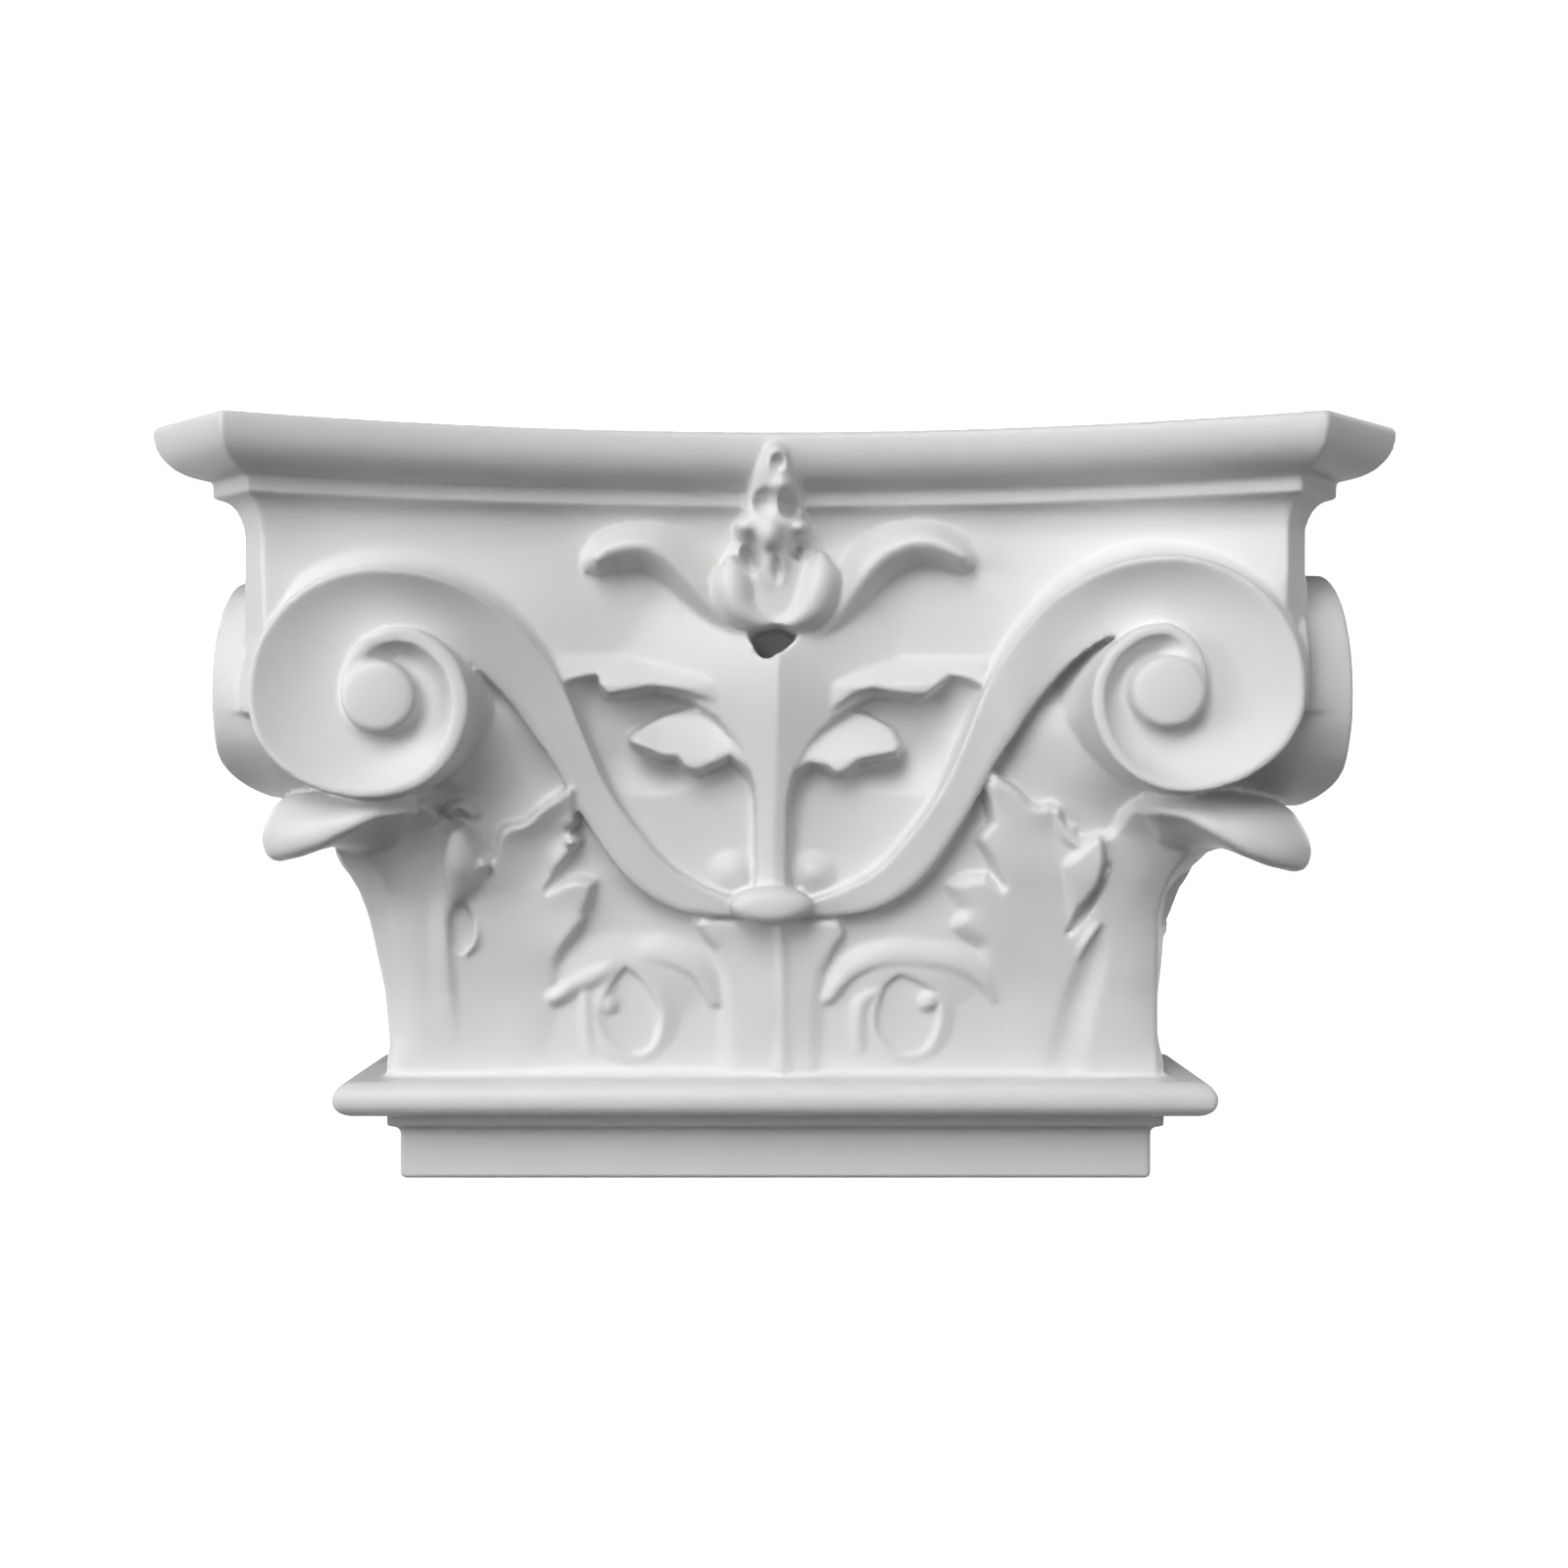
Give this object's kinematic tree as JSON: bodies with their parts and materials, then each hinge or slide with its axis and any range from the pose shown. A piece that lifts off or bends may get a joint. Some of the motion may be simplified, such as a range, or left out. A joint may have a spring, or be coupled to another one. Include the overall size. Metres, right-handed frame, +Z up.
{
  "type": "pilaster capital",
  "caption": "Cast pilaster capital with a concave canted abacus, corner volutes on stalks, acanthus leaves, a central flower and a flat back.",
  "frame": {"origin": "centre of the flat underside of the neck, where the capital sits on the pilaster's shaft", "axes": "+Z up to the top of the abacus, +X to the right along the front, -Y out of the front face, +Y to the flat back"},
  "size_m": [0.3412, 0.1056, 0.213],
  "materials": {
    "primed_casting": "white factory primer on rigid polyurethane, satin"
  },
  "bodies": {
    "root": {"pilaster_capital": "primed_casting"}
  },
  "joints": []
}
